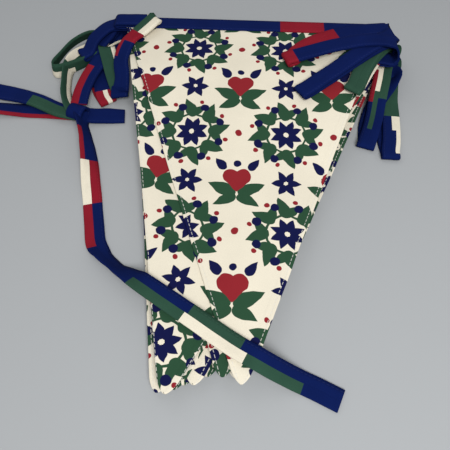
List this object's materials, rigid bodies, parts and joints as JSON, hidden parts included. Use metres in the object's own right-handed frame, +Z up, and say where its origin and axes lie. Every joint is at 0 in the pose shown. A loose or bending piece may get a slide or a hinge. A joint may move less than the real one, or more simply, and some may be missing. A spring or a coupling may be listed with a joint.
{
  "type": "fabric bunting",
  "caption": "Folded fabric bunting: ten printed cotton pennants stacked on a bias tape, with tape loops, a knot and a long free end.",
  "frame": {"origin": "on the table, at the middle of the flat underside of the lowest pennant", "axes": "+X along the folded top edges to the right, +Y from the tips towards the top edges, +Z up from the table"},
  "size_m": [0.3995, 0.3565, 0.042],
  "materials": {
    "printed_cotton": "matte woven cotton",
    "tape_cotton": "matte woven cotton"
  },
  "bodies": {
    "root": {"pennant_01": "printed_cotton", "pennant_02": "printed_cotton", "pennant_03": "printed_cotton", "pennant_04": "printed_cotton", "pennant_05": "printed_cotton", "pennant_06": "printed_cotton", "pennant_07": "printed_cotton", "pennant_08": "printed_cotton", "pennant_09": "printed_cotton", "pennant_10": "printed_cotton", "tape": "tape_cotton"}
  },
  "joints": []
}
